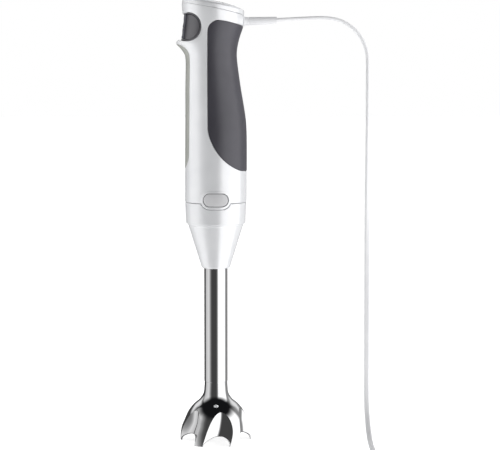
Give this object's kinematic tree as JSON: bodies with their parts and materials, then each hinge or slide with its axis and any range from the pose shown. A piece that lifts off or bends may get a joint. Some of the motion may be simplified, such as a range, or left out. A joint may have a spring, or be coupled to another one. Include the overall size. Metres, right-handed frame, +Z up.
{
  "type": "immersion blender",
  "caption": "Corded stick blender: tapered two-part handle with speed dial and two finger switches, push-button release, steel shaft and a fluted steel bell with a turning blade.",
  "frame": {"origin": "centre of the bell's rim, on the surface that the blender stands on", "axes": "+Z up along the shaft towards the speed dial; +X towards the cord at the back, so the switches face -X; +Y to the user's right"},
  "size_m": [0.1739, 0.1835, 0.3959],
  "materials": {
    "white_gloss": "gloss",
    "trim_grey": "satin",
    "grip_grey": "satin soft touch",
    "switch_grey": "satin",
    "key_grey": "satin soft touch",
    "release_grey": "satin",
    "polished_steel": "mirror polished",
    "blade_steel": "ground",
    "machined_steel": "turned",
    "spring_steel": "drawn",
    "inner_plastic": "moulded",
    "dark_plastic": "moulded",
    "bronze": "sintered",
    "black_rubber": "matt",
    "coupling_plastic": "moulded",
    "lamination": "pressed sheet",
    "die_cast": "die cast",
    "enamelled_copper": "enamelled wire",
    "copper": "turned",
    "carbon": "pressed",
    "circuit_board": "solder mask",
    "film_capacitor": "moulded",
    "control_blue": "moulded",
    "lead_insulation": "extruded",
    "cord_grey": "satin extruded",
    "plug_grey": "moulded",
    "pin_nickel": "nickel plated"
  },
  "bodies": {
    "foot": {"bell": "polished_steel", "shaft_tube": "polished_steel", "foot_housing": "white_gloss", "foot_spigot": "inner_plastic", "bell_boss": "dark_plastic", "lower_bush": "bronze", "shaft_seal": "black_rubber", "upper_bush": "bronze", "power_cord": "cord_grey", "cord_coil": "cord_grey", "plug_body": "plug_grey", "plug_pins": "pin_nickel"},
    "blade_rotor": {"drive_shaft": "machined_steel", "driven_coupling": "coupling_plastic", "blade": "blade_steel", "blade_hub": "blade_steel", "blade_nut": "blade_steel"},
    "handle": {"left_shell": "white_gloss", "right_shell": "white_gloss", "front_trim": "trim_grey", "rear_grip": "grip_grey", "coupling_socket": "inner_plastic", "top_deck": "inner_plastic", "switch_bezel": "switch_grey", "switch_frame": "switch_grey", "power_spring": "spring_steel", "turbo_spring": "spring_steel", "release_springs_left": "spring_steel", "release_springs_right": "spring_steel", "potentiometer": "control_blue", "control_board": "circuit_board", "microswitches": "dark_plastic", "capacitor": "film_capacitor", "triac": "dark_plastic", "lower_bracket": "die_cast", "upper_bracket": "die_cast", "lower_bearing": "bronze", "upper_bearing": "bronze", "stator_stack": "lamination", "field_coils": "enamelled_copper", "brush_holders": "inner_plastic", "carbon_brushes": "carbon", "motor_dampers": "black_rubber", "lead_wires": "lead_insulation", "cable_clamp": "inner_plastic", "housing_screws": "machined_steel", "strain_relief": "cord_grey"},
    "motor_rotor": {"motor_shaft": "machined_steel", "armature_core": "lamination", "armature_winding": "enamelled_copper", "commutator": "copper", "cooling_fan": "inner_plastic", "drive_coupling": "coupling_plastic"},
    "dial": {"speed_dial": "white_gloss", "dial_spindle": "machined_steel"},
    "power_key": {"power_button": "key_grey"},
    "turbo_key": {"turbo_button": "key_grey"},
    "release_left": {"release_button_left": "release_grey"},
    "release_right": {"release_button_right": "release_grey"}
  },
  "joints": [
    {"name": "handle_lift", "type": "slide", "parent": "foot", "child": "handle", "axis": [0, 0, 1], "range_m": [0, 0.06]},
    {"name": "motor_spin", "type": "hinge", "parent": "handle", "child": "motor_rotor", "pos_m": [0, 0, 0.27], "axis": [0, 0, 1], "continuous": true},
    {"name": "blade_spin", "type": "hinge", "parent": "foot", "child": "blade_rotor", "pos_m": [0, 0, 0.1], "axis": [0, 0, 1], "continuous": true},
    {"name": "dial_turn", "type": "hinge", "parent": "handle", "child": "dial", "pos_m": [-0.0025, 0, 0.3856], "axis": [0.1942, 0, 0.981], "range_deg": [0, 270]},
    {"name": "power_press", "type": "slide", "parent": "handle", "child": "power_key", "axis": [1, 0, 0], "range_m": [0, 0.0025], "stiffness_N_per_m": 600, "springref_m": -0.0015},
    {"name": "turbo_press", "type": "slide", "parent": "handle", "child": "turbo_key", "axis": [1, 0, 0], "range_m": [0, 0.0025], "stiffness_N_per_m": 600, "springref_m": -0.0015},
    {"name": "release_left_press", "type": "slide", "parent": "handle", "child": "release_left", "axis": [0, 1, 0], "range_m": [0, 0.0025], "stiffness_N_per_m": 900, "springref_m": -0.0015},
    {"name": "release_right_press", "type": "slide", "parent": "handle", "child": "release_right", "axis": [0, -1, 0], "range_m": [0, 0.0025], "stiffness_N_per_m": 900, "springref_m": -0.0015}
  ],
  "couplings": [
    {"joint": "blade_spin", "follows": "motor_spin", "ratio": 1}
  ]
}
